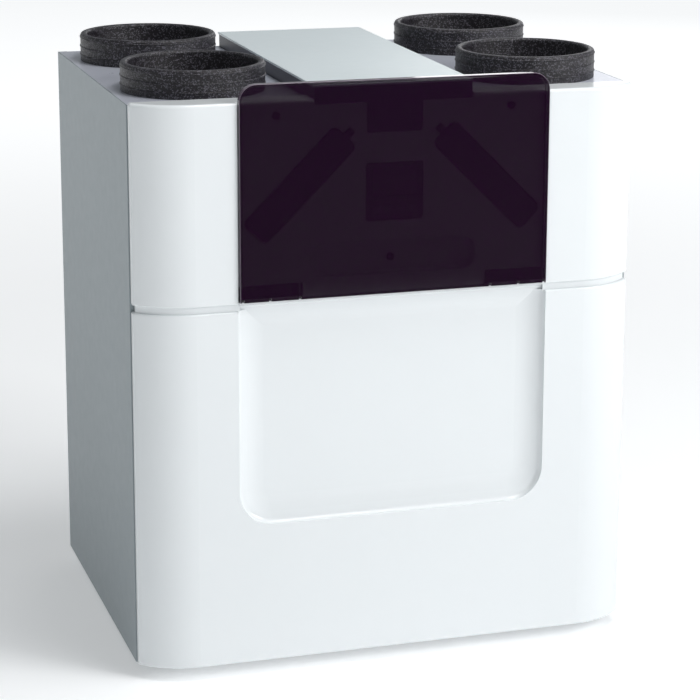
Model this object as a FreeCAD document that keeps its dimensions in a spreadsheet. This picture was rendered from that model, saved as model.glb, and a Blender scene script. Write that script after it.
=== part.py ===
import FreeCAD, Part
import math
import os
import Sketcher
from FreeCAD import Placement, Rotation, Vector

# Heat recovery ventilation unit, wall hung: a sheet steel casing round a foam body, with four duct
# collars on top, two white front covers, a tinted visor that folds down, and the exchanger, filters,
# fans and bypass damper inside. Millimetres, +Z up, the front faces -Y. The origin is at the middle
# of the overall box in X and Y, and at its bottom in Z.

doc = FreeCAD.newDocument("HeatRecoveryUnit")

# ---------------------------------------------------------------- driving sizes

SIZES = [
    ("casing_width", 725, "outside width over the side panels"),
    ("casing_depth", 503, "depth of the steel casing, front edge to back"),
    ("casing_height", 790, "height of the steel casing"),
    ("sheet_wall", 1.5, "thickness of the casing's steel sheet"),
    ("sheet_gap", 0.2, "clearance between lapped sheets"),
    ("flange_width", 14, "folded edge of a side panel"),
    ("pan_depth", 12, "upstand of the top plate and base plate"),
    ("wall_gap", 15, "space that the wall bracket keeps behind the casing"),
    ("drain_drop", 20, "how far the drain spigots reach below the casing"),
    ("cover_depth", 47, "how far the front covers stand out from the casing"),
    ("cover_inset", 1.5, "front covers narrower than the casing, each side"),
    ("cover_gap", 2, "gap between casing and front covers"),
    ("cover_wall", 4, "wall of the moulded covers"),
    ("cover_return", 8.5, "straight side return of the covers"),
    ("corner_run", 35, "width of the big rounded front corner"),
    ("corner_radius", 105, "radius of the big rounded front corner"),
    ("cover_rise", 4, "upper cover's top above the casing"),
    ("seam_drop", 13, "top edge of the lower cover below the visor"),
    ("seam_width", 10, "groove between the two covers"),
    ("seam_lip", 4.5, "set-back of the lower cover's lip in that groove"),
    ("visor_width", 442, "width of the visor"),
    ("visor_height", 298, "height of the visor"),
    ("visor_rise", 25, "visor's upper edge above the upper cover"),
    ("visor_wall", 4, "thickness of the visor plate"),
    ("visor_rim", 6, "depth of the rim behind the visor plate"),
    ("visor_proud", 5, "visor's face in front of the covers"),
    ("visor_gap", 2, "gap round the visor"),
    ("visor_corner", 24, "radius of the visor's upper corners"),
    ("field_depth", 6, "set-back of the field behind the visor"),
    ("recess_depth", 16, "depth of the dished recess in the lower cover"),
    ("recess_height", 307, "height of the recess, up to the seam"),
    ("recess_slope", 44, "width of the recess's concave edge"),
    ("floor_corner", 4, "corner radius of the recess's flat floor"),
    ("axis_set_back", 3, "hinge axis behind the visor's face"),
    ("axis_rise", 2.5, "hinge axis above the visor's lower edge"),
    ("barrel_radius", 2, "hinge barrel radius"),
    ("pin_radius", 1, "hinge pin radius"),
    ("running_fit", 0.05, "radial clearance of a turning fit"),
    ("collar_bore", 90, "inner radius of a duct collar"),
    ("collar_wall", 10, "wall of a duct collar"),
    ("collar_height", 40, "height of a duct collar"),
    ("collar_seat", 20, "length of a collar below the top plate"),
    ("collar_rib", 0.9, "height of the ribs round a collar"),
    ("port_side", 17.5, "between a collar and the casing's side"),
    ("port_front", 12, "between a collar and the casing's front edge"),
    ("port_rear", 2, "between a collar and the casing's back edge"),
    ("box_gap", 32.5, "between a collar and the electronics box"),
    ("box_rise", 19, "electronics box above the casing top"),
    ("box_height", 49, "height of the wide part of the electronics box"),
    ("bay_width", 88, "width of the lower bay of the electronics box"),
    ("bay_height", 30, "height of that bay"),
    ("lid_wall", 3, "thickness of the electronics lid"),
    ("filter_length", 182, "filter size along the slope"),
    ("filter_thick", 34, "thickness of a filter"),
    ("cap_thick", 43, "thickness of a filter cap"),
    ("filter_inner", 11, "between a filter cap and the box's lower bay"),
    ("filter_under", 3.45, "between a filter cap and the box's wide part"),
    ("core_half", 180, "half width of the heat exchanger"),
    ("core_drop", 70, "exchanger's upper ridge below the casing top"),
    ("core_height", 460, "exchanger's height from ridge to ridge"),
    ("core_cover", 68.6, "foam behind the exchanger"),
    ("display_width", 82, "width of the display"),
    ("display_height", 80, "height of the display"),
    ("display_drop", 6, "display centre below the middle between grip and box"),
    ("key_size", 12, "edge of a display key"),
    ("key_travel", 0.8, "travel of a display key"),
    ("fan_side", 23.5, "between a fan housing and the casing's side"),
    ("fan_rise", 46, "between a fan housing and the casing's bottom"),
    ("scroll_radius", 114, "outer radius of a fan housing"),
    ("scroll_run", 110, "fan housing length front to back"),
    ("wheel_radius", 92, "fan wheel radius"),
    ("shaft_radius", 5, "fan shaft radius"),
    ("drain_radius", 16, "outer radius of a drain spigot"),
    ("drain_x", 150, "drain spigot from the middle"),
    ("grip_rise", 25, "grip above the visor's lower edge"),
    ("grip_height", 46, "height of the grip"),
    ("bracket_holes", 480, "spacing of the wall bracket's holes along the wall"),
]

sheet = doc.addObject("Spreadsheet::Sheet", "Sizes")


class Size:
    """A number together with the sheet expression that gives it."""

    def __init__(self, number, text):
        self.number = number
        self.text = text

    def join(self, other, sign, number):
        return Size(number, "(" + self.text + " " + sign + " " + other.text + ")")

    def __add__(self, other):
        other = size(other)
        return self.join(other, "+", self.number + other.number)

    def __sub__(self, other):
        other = size(other)
        return self.join(other, "-", self.number - other.number)

    def __mul__(self, other):
        other = size(other)
        return self.join(other, "*", self.number * other.number)

    def __truediv__(self, other):
        other = size(other)
        return self.join(other, "/", self.number / other.number)

    def __radd__(self, other):
        return size(other) + self

    def __rsub__(self, other):
        return size(other) - self

    def __rmul__(self, other):
        return size(other) * self

    def __neg__(self):
        return size(0) - self


def size(value):
    """Wraps a plain number, and passes a Size through."""
    if isinstance(value, Size):
        return value
    return Size(float(value), "(" + str(float(value)) + ")")


def root(value):
    return Size(math.sqrt(value.number), "sqrt(" + value.text + ")")


def least(first, second):
    return Size(min(first.number, second.number), "min(" + first.text + "; " + second.text + ")")


class Named:
    """The driving sizes by name."""


S = Named()
for row, (alias, value, meaning) in enumerate(SIZES, start=1):
    sheet.set("A" + str(row), meaning)
    sheet.set("B" + str(row), str(value))
    sheet.setAlias("B" + str(row), alias)
    setattr(S, alias, Size(float(value), "Sizes." + alias))
doc.recompute()

# ---------------------------------------------------------------- levels and planes worked out from them

half_width = S.casing_width / 2
overall_depth = S.wall_gap + S.casing_depth + S.cover_depth + S.visor_proud
back = overall_depth / 2
casing_back = back - S.wall_gap
casing_front = casing_back - S.casing_depth
cover_front = casing_front - S.cover_depth
visor_front = cover_front - S.visor_proud
cover_back = casing_front - S.cover_gap
cover_half = half_width - S.cover_inset

# The big front corner turns over corner_run and corner_rise, and its radius can't outgrow them.
corner_rise = S.cover_depth - S.cover_gap - S.cover_return
corner_slant = root(S.corner_run * S.corner_run + corner_rise * corner_rise)
corner_limit = (corner_slant - 5) * (corner_slant + S.corner_run) / corner_rise
corner_round = least(S.corner_radius, corner_limit)

casing_bottom = S.drain_drop
casing_top = casing_bottom + S.casing_height
cover_top = casing_top + S.cover_rise
visor_top = cover_top + S.visor_rise
visor_bottom = visor_top - S.visor_height
seam_level = visor_bottom - S.seam_drop
upper_bottom = seam_level + S.seam_width
recess_bottom = seam_level - S.recess_height

pan_half = half_width - S.sheet_wall - S.sheet_gap
pan_front = casing_front + S.sheet_wall + S.sheet_gap
pan_back = casing_back - S.sheet_wall - S.sheet_gap

foam_clear = 0.5
foam_half = pan_half - S.sheet_wall - foam_clear
foam_front = pan_front + S.sheet_wall + foam_clear
foam_split = foam_front + 17
foam_back = pan_back - S.sheet_wall - foam_clear
foam_bottom = casing_bottom + S.sheet_wall + foam_clear
foam_top = casing_top - S.sheet_wall - foam_clear

opening_half = S.visor_width / 2 + S.visor_gap
field_front = cover_front + S.field_depth
recess_floor = cover_front + S.recess_depth
recess_corner = S.recess_slope + S.floor_corner
axis_y = visor_front + S.axis_set_back
axis_z = visor_bottom + S.axis_rise

collar_outer = S.collar_bore + S.collar_wall
port_x = half_width - S.port_side - collar_outer
port_y_front = casing_front + S.port_front + collar_outer
port_y_rear = casing_back - S.port_rear - collar_outer

box_half = port_x - collar_outer - S.box_gap
box_top = casing_top + S.box_rise
box_floor = box_top - S.box_height
bay_floor = box_floor - S.bay_height
box_front = field_front + S.cover_wall + 0.5
box_back = pan_back - S.sheet_wall - 1.5
bay_half = S.bay_width / 2

cap_reach = (S.filter_length + S.cap_thick) / 2 / math.sqrt(2)
filter_x = bay_half + S.filter_inner + cap_reach
filter_level = box_floor - S.filter_under - cap_reach
core_top = casing_top - S.core_drop
core_bottom = core_top - S.core_height
core_room = foam_back - foam_split - S.core_cover
core_run = core_room - 10
filter_run = core_run
fan_x = half_width - S.fan_side - S.scroll_radius
fan_level = casing_bottom + S.fan_rise + S.scroll_radius
grip_low = visor_bottom + S.grip_rise
grip_high = grip_low + S.grip_height
notch_floor = bay_floor + 14
display_level = (grip_high + notch_floor) / 2 - S.display_drop

# ---------------------------------------------------------------- drawing helpers

PLANES = {"XY": ("XY_Plane", 1), "XZ": ("XZ_Plane", -1), "YZ": ("YZ_Plane", 1)}
counter = {"sketch": 0, "feature": 0}
parts = []


def bind(thing, prop, value):
    thing.setExpression(prop, size(value).text)


def bind_place(thing, x=0, y=0, z=0, turn=None):
    """Turns a sub-part and moves it to a place given by sizes."""
    if turn is not None:
        thing.Placement = Placement(Vector(0, 0, 0), turn)
    bind(thing, "Placement.Base.x", x)
    bind(thing, "Placement.Base.y", y)
    bind(thing, "Placement.Base.z", z)


def new_body(label):
    body = doc.addObject("PartDesign::Body", label)
    body.Label = label
    parts.append(body)
    return body


class Drawing:
    """A sketch on one of its body's origin planes, at a given coordinate along that plane's axis."""

    def __init__(self, body, plane, at=0):
        counter["sketch"] += 1
        role, self.side = PLANES[plane]
        self.body = body
        self.sketch = body.newObject("Sketcher::SketchObject", "sketch_" + str(counter["sketch"]))
        origin_plane = next(f for f in body.Origin.OriginFeatures if f.Role == role)
        self.sketch.AttachmentSupport = [(origin_plane, "")]
        self.sketch.MapMode = "FlatFace"
        bind(self.sketch, "AttachmentOffset.Base.z", size(at) * self.side)

    def fix(self, geometry, point, x, y):
        """Ties a point of the sketch to a place given by sizes."""
        for kind, value in (("DistanceX", size(x)), ("DistanceY", size(y))):
            index = self.sketch.addConstraint(
                Sketcher.Constraint(kind, -1, 1, geometry, point, value.number)
            )
            self.sketch.setExpression("Constraints[" + str(index) + "]", value.text)

    def circle(self, x, y, radius):
        x, y, radius = size(x), size(y), size(radius)
        shape = Part.Circle(Vector(x.number, y.number, 0), Vector(0, 0, 1), radius.number)
        geometry = self.sketch.addGeometry(shape, False)
        self.fix(geometry, 3, x, y)
        self.limit_radius(geometry, radius)
        return self

    def limit_radius(self, geometry, radius):
        index = self.sketch.addConstraint(Sketcher.Constraint("Radius", geometry, radius.number))
        self.sketch.setExpression("Constraints[" + str(index) + "]", radius.text)

    def outline(self, corners, closed=True):
        """An outline through corners (x, y) or (x, y, rounding radius). An open one has plain ends."""
        points = [[size(v) for v in corner] for corner in corners]
        spots = [Vector(p[0].number, p[1].number, 0) for p in points]
        count = len(points)
        starts, ends, arcs = list(spots), list(spots), [None] * count
        for i in range(count):
            if len(points[i]) == 3:
                radius = points[i][2].number
                into = (spots[i] - spots[i - 1]).normalize()
                out = (spots[(i + 1) % count] - spots[i]).normalize()
                turn = math.atan2(into.x * out.y - into.y * out.x, into.dot(out))
                reach = radius * math.tan(abs(turn) / 2)
                ends[i] = spots[i] - into * reach
                starts[i] = spots[i] + out * reach
                left = Vector(-into.y, into.x, 0) * math.copysign(1, turn)
                centre = ends[i] + left * radius
                first, last = (ends[i], starts[i]) if turn > 0 else (starts[i], ends[i])
                angles = [math.atan2(p.y - centre.y, p.x - centre.x) for p in (first, last)]
                if angles[1] < angles[0]:
                    angles[1] += 2 * math.pi
                circle = Part.Circle(centre, Vector(0, 0, 1), radius)
                arcs[i] = (Part.ArcOfCircle(circle, angles[0], angles[1]), turn > 0)
        lines = []
        for i in range(count if closed else count - 1):
            line = Part.LineSegment(starts[i], ends[(i + 1) % count])
            lines.append(self.sketch.addGeometry(line, False))
        if not closed:
            self.fix(lines[0], 1, points[0][0], points[0][1])
            self.fix(lines[-1], 2, points[-1][0], points[-1][1])
        for i in range(0 if closed else 1, len(lines)):
            before, after = lines[i - 1], lines[i]
            if arcs[i] is None:
                self.join("Coincident", before, 2, after, 1)
                self.fix(after, 1, points[i][0], points[i][1])
                continue
            arc = self.sketch.addGeometry(arcs[i][0], False)
            near, far = (1, 2) if arcs[i][1] else (2, 1)
            self.join("Tangent", before, 2, arc, near)
            self.join("Tangent", after, 1, arc, far)
            self.limit_radius(arc, points[i][2])
            corner = self.sketch.addGeometry(Part.Point(spots[i]), True)
            self.fix(corner, 1, points[i][0], points[i][1])
            for line in (before, after):
                self.sketch.addConstraint(Sketcher.Constraint("PointOnObject", corner, 1, line))
        return self

    def join(self, kind, first, first_end, second, second_end):
        self.sketch.addConstraint(Sketcher.Constraint(kind, first, first_end, second, second_end))

    def rectangle(self, x0, x1, y0, y1, radius=None):
        corners = [(x0, y0), (x1, y0), (x1, y1), (x0, y1)]
        if radius is not None:
            corners = [corner + (radius,) for corner in corners]
        return self.outline(corners)

    def sweep(self, kind, length, toward):
        """A pad or pocket of this sketch, towards the plane's positive (1) or negative (-1) axis."""
        feature = new_feature(self.body, kind)
        feature.Profile = self.sketch
        bind(feature, "Length", length)
        usual = self.side if kind == "Pad" else -self.side
        feature.Reversed = toward != usual
        return feature

    def pad(self, length, toward=1):
        return self.sweep("Pad", length, toward)

    def pocket(self, length, toward=1):
        return self.sweep("Pocket", length, toward)

    def turn(self, kind="Revolution"):
        """A full turn of this sketch about its own upright axis."""
        feature = new_feature(self.body, kind)
        feature.Profile = self.sketch
        feature.ReferenceAxis = (self.sketch, ["V_Axis"])
        feature.Angle = 360
        return feature


def new_feature(body, kind):
    counter["feature"] += 1
    return body.newObject("PartDesign::" + kind, kind.lower() + "_" + str(counter["feature"]))


def along(edge, x=None, y=None, z=None):
    """True where the whole edge lies in the named coordinate planes."""
    middle = edge.valueAt((edge.FirstParameter + edge.LastParameter) / 2)
    spots = [vertex.Point for vertex in edge.Vertexes] + [middle]
    for spot in spots:
        for wanted, found in ((x, spot.x), (y, spot.y), (z, spot.z)):
            if wanted is not None and abs(size(wanted).number - found) > 0.01:
                return False
    return True


def within(edge, x=None, y=None, z=None):
    """True where the edge's middle lies between the given pairs of coordinates."""
    middle = edge.valueAt((edge.FirstParameter + edge.LastParameter) / 2)
    for span, found in ((x, middle.x), (y, middle.y), (z, middle.z)):
        if span is not None and not size(span[0]).number - 0.01 < found < size(span[1]).number + 0.01:
            return False
    return True


def dress(body, kind, amount, chosen):
    """Rounds or chamfers the edges of a body for which chosen(edge) is true."""
    doc.recompute()
    base = body.Tip
    names = ["Edge" + str(i) for i, edge in enumerate(base.Shape.Edges, start=1) if chosen(edge)]
    if not names:
        raise RuntimeError(body.Label + ": no edge to dress")
    feature = new_feature(body, kind)
    feature.Base = (base, names)
    bind(feature, "Radius" if kind == "Fillet" else "Size", amount)
    return feature


def polar(body, feature, sketch, count):
    pattern = new_feature(body, "PolarPattern")
    pattern.Originals = [feature]
    pattern.Axis = (sketch, ["N_Axis"])
    pattern.Angle = 360
    pattern.Occurrences = count
    body.Tip = pattern
    return pattern


def box(name, x, y, z):
    """A Part box between pairs of coordinates."""
    solid = doc.addObject("Part::Box", name)
    for prop, span in (("Length", x), ("Width", y), ("Height", z)):
        bind(solid, prop, size(span[1]) - span[0])
    bind_place(solid, x[0], y[0], z[0])
    return solid


def rod(name, axis, radius, start, length, x=0, y=0, z=0):
    """A Part cylinder along an axis. start is its coordinate on that axis."""
    solid = doc.addObject("Part::Cylinder", name)
    bind(solid, "Radius", radius)
    bind(solid, "Height", length)
    turns = {"X": Rotation(Vector(0, 1, 0), 90), "Y": Rotation(Vector(1, 0, 0), -90), "Z": Rotation()}
    place = {"X": (start, y, z), "Y": (x, start, z), "Z": (x, y, start)}[axis]
    bind_place(solid, place[0], place[1], place[2], turns[axis])
    return solid


def combine(kind, label, solids, keep=True):
    """A Part boolean or compound of solids. A cut takes the first one and removes the others."""
    if kind == "Cut":
        tools = solids[1:]
        tool = tools[0] if len(tools) == 1 else combine("MultiFuse", label + "_tools", tools, False)
        result = doc.addObject("Part::Cut", label)
        result.Base = solids[0]
        result.Tool = tool
    else:
        result = doc.addObject("Part::" + kind, label)
        if kind == "Compound":
            result.Links = solids
        else:
            result.Shapes = solids
    result.Label = label
    if keep:
        parts.append(result)
    return result


# ---------------------------------------------------------------- steel casing


def side_panel(label, side):
    """A folded steel side with a flange along its front and back edges."""
    body = new_body(label)
    outer = half_width * side
    inner = (half_width - S.sheet_wall) * side
    edge = (half_width - S.flange_width) * side
    front_in = casing_front + S.sheet_wall
    back_in = casing_back - S.sheet_wall
    plan = Drawing(body, "XY", casing_bottom)
    plan.outline([
        (outer, casing_front, 1.2), (edge, casing_front), (edge, front_in), (inner, front_in),
        (inner, back_in), (edge, back_in), (edge, casing_back), (outer, casing_back, 1.2),
    ])
    plan.pad(S.casing_height)


side_panel("side_panel_left", -1)
side_panel("side_panel_right", 1)


def back_panel():
    body = new_body("back_panel")
    low = casing_bottom + S.pan_depth + S.sheet_gap
    high = casing_top - S.pan_depth - S.sheet_gap
    Drawing(body, "XZ", pan_back).rectangle(-pan_half, pan_half, low, high).pad(S.sheet_wall, -1)


back_panel()

collar_hole = collar_outer - 1


def pan(label, outer_level, toward):
    """A shallow steel pan whose flat face is outside and whose upstand points towards the casing."""
    body = new_body(label)
    Drawing(body, "XY", outer_level).rectangle(-pan_half, pan_half, pan_front, pan_back).pad(S.pan_depth, toward)
    wall = S.sheet_wall
    inside = Drawing(body, "XY", outer_level + wall * toward)
    inside.rectangle(-pan_half + wall, pan_half - wall, pan_front + wall, pan_back - wall)
    inside.pocket(S.pan_depth, toward)
    return body


def top_plate():
    body = pan("top_plate", casing_top, -1)
    holes = Drawing(body, "XY", casing_top)
    for x in (-port_x, port_x):
        for y in (port_y_front, port_y_rear):
            holes.circle(x, y, collar_hole)
    holes.pocket(S.sheet_wall * 2, -1)
    slot_half = box_half + 1
    slot = Drawing(body, "XY", casing_top)
    slot.rectangle(-slot_half, slot_half, pan_front - 1, box_back + 1)
    slot.pocket(S.pan_depth + 1, -1)


top_plate()

drain_y = casing_front + 110
drain_clear = 0.5


def base_plate():
    body = pan("base_plate", casing_bottom, 1)
    holes = Drawing(body, "XY", casing_bottom)
    for x in (-S.drain_x, S.drain_x):
        holes.circle(x, drain_y, S.drain_radius + drain_clear)
    holes.pocket(S.sheet_wall * 2, 1)


base_plate()

# ---------------------------------------------------------------- foam body

core_flat = 6
core_clear = 2
channel_inner = S.core_half + 8
channel_outer = S.core_half + 36
riser_inner = S.core_half + 42
riser_outer = port_x + S.collar_bore
duct_floor = foam_top - 28
tray_half = foam_half - 24.8
tray_floor = foam_bottom + 13
tray_top = tray_floor + 22
chamber_back = port_y_rear - S.collar_bore - 26


def core_outline(grow):
    """The exchanger's six-sided outline, grown by an amount, with its top and bottom points cut flat."""
    reach = grow * math.sqrt(2)
    half = S.core_half + grow
    top = core_top + reach
    bottom = core_bottom - reach
    flat = size(core_flat)
    return [
        (flat, bottom + flat), (half, bottom + half), (half, top - half), (flat, top - flat),
        (-flat, top - flat), (-half, top - half), (-half, bottom + half), (-flat, bottom + flat),
    ]


def filter_outline(side, length, thick):
    """A bar that lies on the 45 degree slope of one filter, as four corners."""
    along_slope = length / 2 / math.sqrt(2)
    across = thick / 2 / math.sqrt(2)
    corners = []
    for end, edge in ((-1, -1), (1, -1), (1, 1), (-1, 1)):
        x = -filter_x + along_slope * end - across * edge
        z = filter_level + along_slope * end + across * edge
        corners.append((x * -side, z))
    return corners


def t_outline(clear, top):
    """The electronics box's T-shaped section with a clearance, up to a given level."""
    wide = box_half + clear
    narrow = bay_half + clear
    return [
        (-narrow, bay_floor - clear), (narrow, bay_floor - clear), (narrow, box_floor - clear),
        (wide, box_floor - clear), (wide, top), (-wide, top),
        (-wide, box_floor - clear), (-narrow, box_floor - clear),
    ]


filter_clear = 1
outlet_rise = S.scroll_radius + 34
outlet_top = fan_level + outlet_rise


def foam_body():
    """The foam block that holds everything, hollowed from its front face and from the top."""
    body = new_body("foam_body")
    Drawing(body, "XZ", foam_split).rectangle(-foam_half, foam_half, foam_bottom, foam_top).pad(
        foam_back - foam_split, 1)
    Drawing(body, "XZ", foam_split).outline(core_outline(core_clear)).pocket(core_room)
    for side in (-1, 1):
        slot = Drawing(body, "XZ", foam_split)
        slot.outline(filter_outline(side, S.filter_length + 2 * filter_clear, S.filter_thick + 2 * filter_clear))
        slot.pocket(filter_run + 5)
        # Air space above the filter, open to the front port.
        upper = Drawing(body, "XZ", foam_split)
        foot = filter_level - 56.5
        upper.outline([
            (riser_outer * side, foot), (riser_outer * side, duct_floor), ((filter_x - 8.5) * side, duct_floor),
            ((filter_x - 8.5) * side, filter_level + 28.5), ((filter_x + 68) * side, filter_level - 50),
            ((filter_x + 68) * side, foot),
        ])
        upper.pocket(chamber_back - foam_split)
        # Air space between the filter and the exchanger.
        gap = Drawing(body, "XZ", foam_split)
        low = (S.core_half - 20, core_top - S.core_half + 20)
        gap.outline([
            (36 * side, core_top - 36), (66 * side, core_top - 12), (170 * side, core_top - 114),
            (channel_outer * side, core_top - 140), (channel_outer * side, low[1]), (low[0] * side, low[1]),
        ])
        gap.pocket(filter_run - 10)
        # Air space below the exchanger, in front of the fan.
        lower = Drawing(body, "XZ", foam_split)
        lower.outline([
            ((S.core_half - 4) * side, core_bottom + S.core_half - 4), (20 * side, core_bottom + 20),
            (20 * side, tray_top), (riser_outer * side, tray_top),
            (riser_outer * side, core_bottom + S.core_half - 4),
        ])
        lower.pocket(chamber_back - foam_split)
        # Fan chamber.
        room = S.scroll_radius + 3
        chamber = Drawing(body, "XZ", foam_split)
        chamber.rectangle(
            (fan_x - room) * side if side > 0 else -(fan_x + room),
            (fan_x + room) * side if side > 0 else -(fan_x - room),
            fan_level - room, outlet_top + 4)
        chamber.pocket(chamber_back - foam_split + S.scroll_run + 12)
        # Riser from the fan up to the rear port.
        riser = Drawing(body, "XY", foam_top)
        riser.rectangle(
            riser_inner if side > 0 else -riser_outer,
            riser_outer if side > 0 else -riser_inner,
            chamber_back + 12, port_y_rear + 80)
        riser.pocket(foam_top - outlet_top + 8, -1)
        for y in (port_y_front, port_y_rear):
            duct = Drawing(body, "XY", foam_top)
            duct.circle(port_x * side, y, S.collar_bore + 1)
            duct.pocket(foam_top - duct_floor + 4, -1)
            seat = Drawing(body, "XY", foam_top)
            seat.circle(port_x * side, y, collar_hole + 0.2)
            seat.pocket(S.collar_seat, -1)
        drain = Drawing(body, "XY", foam_bottom)
        drain.circle(S.drain_x * side, drain_y, S.drain_radius + drain_clear)
        drain.pocket(30, 1)
    # Bypass channel beside the exchanger, on the right.
    channel = Drawing(body, "XZ", foam_split)
    channel.rectangle(channel_inner, channel_outer, core_bottom + S.core_half - 20, core_top - 140)
    channel.pocket(chamber_back - foam_split)
    # Slot for the condensate tray.
    tray = Drawing(body, "XZ", foam_split)
    tray.rectangle(-tray_half - 1.5, tray_half + 1.5, tray_floor - 0.2, tray_top)
    tray.pocket(chamber_back - foam_split)
    # Channel for the electronics box, and notches for the exchanger's seals.
    Drawing(body, "XZ", foam_split).outline(t_outline(2, foam_top + 5)).pocket(foam_back - foam_split + 1)
    for low, high in ((core_top - 10, core_top + 5), (core_bottom - 5, core_bottom + 10)):
        notch = Drawing(body, "XZ", foam_split)
        notch.rectangle(-10, 10, low, high)
        notch.pocket(core_run)


foam_body()


def foam_panel():
    """The foam panel that closes the block, with slots for the filters and a channel for the box."""
    body = new_body("foam_front_panel")
    Drawing(body, "XZ", foam_front).rectangle(-foam_half, foam_half, foam_bottom, foam_top).pad(
        foam_split - foam_front - 0.3, 1)
    for side in (-1, 1):
        slot = Drawing(body, "XZ", foam_front)
        slot.outline(filter_outline(side, S.filter_length + 2 * filter_clear, S.filter_thick + 2 * filter_clear))
        slot.pocket(foam_split - foam_front)
        seat = Drawing(body, "XY", foam_top)
        seat.circle(port_x * side, port_y_front, collar_hole + 0.2)
        seat.pocket(S.collar_seat, -1)
    drive = Drawing(body, "XZ", foam_front)
    drive.rectangle(channel_inner - 6, channel_outer + 6, bypass_level - 26, bypass_level + 26)
    drive.pocket(foam_split - foam_front)
    Drawing(body, "XZ", foam_front).outline(t_outline(2, foam_top + 5)).pocket(foam_split - foam_front)


bypass_level = core_bottom + S.core_half + 50
foam_panel()

# ---------------------------------------------------------------- duct collars


def duct_collar(label, x, y):
    """A foam collar with three ribs and a rounded rim. Its foot stands in the top plate's hole."""
    body = new_body(label)
    ribs = []
    for share in (0.2, 0.5, 0.83):
        low = S.collar_height * share
        ribs += [
            (collar_outer, low), (collar_outer + S.collar_rib, low + 0.8),
            (collar_outer + S.collar_rib, low + 1.6), (collar_outer, low + 2.4),
        ]
    profile = Drawing(body, "XZ")
    profile.outline(
        [(S.collar_bore, -S.collar_seat), (collar_hole - 0.3, -S.collar_seat), (collar_hole - 0.3, 0.2),
         (collar_outer, 0.2)] + ribs
        + [(collar_outer, S.collar_height, 4), (S.collar_bore, S.collar_height, 4)])
    profile.turn()
    bind_place(body, x, y, casing_top)


for name, x, y in (
    ("duct_collar_front_left", -port_x, port_y_front),
    ("duct_collar_rear_left", -port_x, port_y_rear),
    ("duct_collar_front_right", port_x, port_y_front),
    ("duct_collar_rear_right", port_x, port_y_rear),
):
    duct_collar(name, x, y)

# ---------------------------------------------------------------- front covers


def cover_plan(inset):
    """Plan of a front cover, moved inwards by an amount: short side returns and two big round corners."""
    half = cover_half - inset
    crease = cover_back - S.cover_return + inset * 0.4
    turn_x = cover_half - S.corner_run - inset * 0.42
    front = cover_front + inset
    big = corner_round - inset
    return [
        (-half, cover_back + inset), (-half, crease, 3), (-turn_x, front, big),
        (turn_x, front, big), (half, crease, 3), (half, cover_back + inset),
    ]


def cover_shell(label, low, high, thick_front):
    """A cover open at the back. Its front wall is thickened inwards over the middle by thick_front."""
    body = new_body(label)
    Drawing(body, "XY", low).outline(cover_plan(0)).pad(high - low, 1)
    wall = S.cover_wall
    plan = cover_plan(wall)
    step = opening_half + wall
    inner = cover_front + wall + thick_front
    hollow = plan[:3] + [(-step, cover_front + wall), (-step, inner), (step, inner), (step, cover_front + wall)]
    hollow += plan[3:]
    hollow[0] = (hollow[0][0], cover_back + 1)
    hollow[-1] = (hollow[-1][0], cover_back + 1)
    Drawing(body, "XY", low + wall).outline(hollow).pocket(high - low - 2 * wall, 1)
    return body


slot_floor = field_front + 8
tongue_front = axis_y + 3.4
tongue_top = visor_bottom - 0.5
tongue_half = S.visor_width / 2
notch_half = tongue_half + 1.5
hinge_slot_top = visor_bottom + 21
first_ear = tongue_half - 85.5
lip_half = first_ear - 5.5
grip_half = lip_half - 11
grip_floor = cover_front + 26
grip_round = 20
cup_wall = 2
cap_opening = 1.5
display_clear = 0.5
cover_screw_x = (box_half + tongue_half) / 2 + 1.25
cover_screw_level = cover_top - 20
grip_screw_level = grip_low + 20
screw_hole = 2.2


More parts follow.
